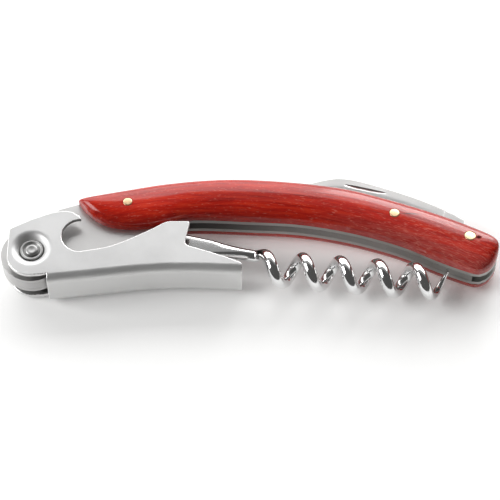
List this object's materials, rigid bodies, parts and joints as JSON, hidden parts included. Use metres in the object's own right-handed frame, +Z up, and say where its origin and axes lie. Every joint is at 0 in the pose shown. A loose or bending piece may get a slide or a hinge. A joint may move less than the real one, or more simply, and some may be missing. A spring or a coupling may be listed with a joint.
{
  "type": "waiters corkscrew",
  "caption": "Folding waiter's corkscrew: red wood handle over steel liners, hinged boot lever with cap lifter, right-handed worm and folding foil blade.",
  "frame": {"origin": "middle of the footprint of the folded corkscrew, on the plane that the lower scale rests on", "axes": "+X along the handle from the lever's rivet to the butt, +Y from the belly (worm and lever side) to the spine (blade side), +Z up through the thickness"},
  "size_m": [0.1186, 0.033, 0.0124],
  "materials": {
    "red_wood": "red-stained close-grained wood under a clear gloss lacquer",
    "liner_steel": "fine-ground steel plate with straight sheared edges",
    "pin_brass": "pale brass ground flush and polished",
    "lever_steel": "satin nickel-plated pressed sheet with bright edges",
    "rivet_steel": "bright pressed steel",
    "worm_chrome": "mirror chrome-plated wire",
    "blade_steel": "satin-ground stainless steel, polished on the bevel"
  },
  "bodies": {
    "handle": {"scale_upper": "red_wood", "scale_lower": "red_wood", "liner_upper": "liner_steel", "liner_lower": "liner_steel", "front_spacer": "liner_steel", "backspring": "liner_steel", "spring_rivet": "liner_steel", "worm_pivot_pin": "liner_steel", "pin_front": "pin_brass", "pin_middle": "pin_brass", "pin_rear": "pin_brass", "lever_rivet": "rivet_steel", "lever_washer_upper": "rivet_steel", "lever_washer_lower": "rivet_steel"},
    "lever": {"lever": "lever_steel"},
    "worm": {"worm": "worm_chrome"},
    "blade": {"blade": "blade_steel"}
  },
  "joints": [
    {"name": "lever_fold", "type": "hinge", "parent": "handle", "child": "lever", "pos_m": [-0.0518, -0.00603, 0.0062], "axis": [0, 0, -1], "range_deg": [0, 180]},
    {"name": "worm_fold", "type": "hinge", "parent": "handle", "child": "worm", "pos_m": [-0.0236, -0.00063, 0.0062], "axis": [0, 0, -1], "range_deg": [0, 90]},
    {"name": "blade_fold", "type": "hinge", "parent": "handle", "child": "blade", "pos_m": [0.0523, -0.00318, 0.0062], "axis": [0, 0, -1], "range_deg": [0, 180]}
  ],
  "couplings": [
    {"joint": "worm_fold", "follows": "lever_fold", "ratio": 0.5}
  ]
}
